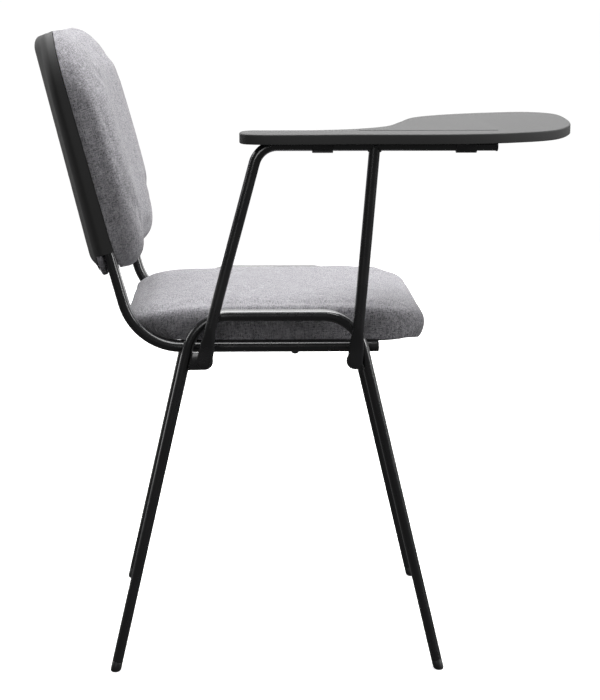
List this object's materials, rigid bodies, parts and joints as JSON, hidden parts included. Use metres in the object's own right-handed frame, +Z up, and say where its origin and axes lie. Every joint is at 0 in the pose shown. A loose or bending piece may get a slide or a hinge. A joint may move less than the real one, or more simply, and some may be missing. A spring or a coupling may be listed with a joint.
{
  "type": "student desk chair",
  "caption": "Stacking side chair on arched flat-oval tube leg frames, with an upholstered seat and backrest and a writing tablet that flips up at the sitter's right hand.",
  "frame": {"origin": "bottom centre of the whole chair's bounding box, on the floor", "axes": "+Z up, the chair faces -Y, +X is the sitter's left, so the tablet is on the -X side"},
  "size_m": [0.5793, 0.712, 0.8252],
  "materials": {
    "frame_black_steel": "satin black powder coat",
    "black_plastic": "plain moulded black, lightly grained",
    "shell_plastic": "charcoal black, fine leather-like grain",
    "tablet_plastic": "charcoal black, satin with a fine grain",
    "grey_fabric": "grey heather weave",
    "plywood": "unfinished veneer",
    "zinc_steel": "bright zinc plate"
  },
  "bodies": {
    "frame": {"arm_bolt_front": "zinc_steel", "arm_bolt_rear": "zinc_steel", "arm_end_plug": "black_plastic", "arm_lug_front": "frame_black_steel", "arm_lug_rear": "frame_black_steel", "arm_post": "frame_black_steel", "arm_tube": "frame_black_steel", "back_board": "plywood", "back_bolt_lower_left": "zinc_steel", "back_bolt_lower_right": "zinc_steel", "back_bolt_upper_left": "zinc_steel", "back_bolt_upper_right": "zinc_steel", "back_cushion": "grey_fabric", "back_rail_left": "frame_black_steel", "back_rail_right": "frame_black_steel", "back_shell": "shell_plastic", "back_tee_nut_lower_left": "zinc_steel", "back_tee_nut_lower_right": "zinc_steel", "back_tee_nut_upper_left": "zinc_steel", "back_tee_nut_upper_right": "zinc_steel", "crossbar_front": "frame_black_steel", "crossbar_rear": "frame_black_steel", "foot_front_left": "black_plastic", "foot_front_right": "black_plastic", "foot_rear_left": "black_plastic", "foot_rear_right": "black_plastic", "leg_frame_left": "frame_black_steel", "leg_frame_right": "frame_black_steel", "rail_plug_left": "black_plastic", "rail_plug_right": "black_plastic", "seat_board": "plywood", "seat_bolt_front_left": "zinc_steel", "seat_bolt_front_right": "zinc_steel", "seat_bolt_rear_left": "zinc_steel", "seat_bolt_rear_right": "zinc_steel", "seat_cushion": "grey_fabric", "seat_tee_nut_front_left": "zinc_steel", "seat_tee_nut_front_right": "zinc_steel", "seat_tee_nut_rear_left": "zinc_steel", "seat_tee_nut_rear_right": "zinc_steel", "seat_under_cover": "black_plastic", "stack_pad_left": "black_plastic", "stack_pad_right": "black_plastic", "tablet_stop_tab": "frame_black_steel"},
    "tablet": {"clip_screw_front_inner": "zinc_steel", "clip_screw_front_outer": "zinc_steel", "clip_screw_rear_inner": "zinc_steel", "clip_screw_rear_outer": "zinc_steel", "hinge_clip_front": "black_plastic", "hinge_clip_rear": "black_plastic", "tablet": "tablet_plastic"}
  },
  "joints": [
    {"name": "tablet_flip", "type": "hinge", "parent": "frame", "child": "tablet", "pos_m": [-0.25884, -0.11796, 0.6838], "axis": [0, -1, 0], "range_deg": [0, 75]}
  ]
}
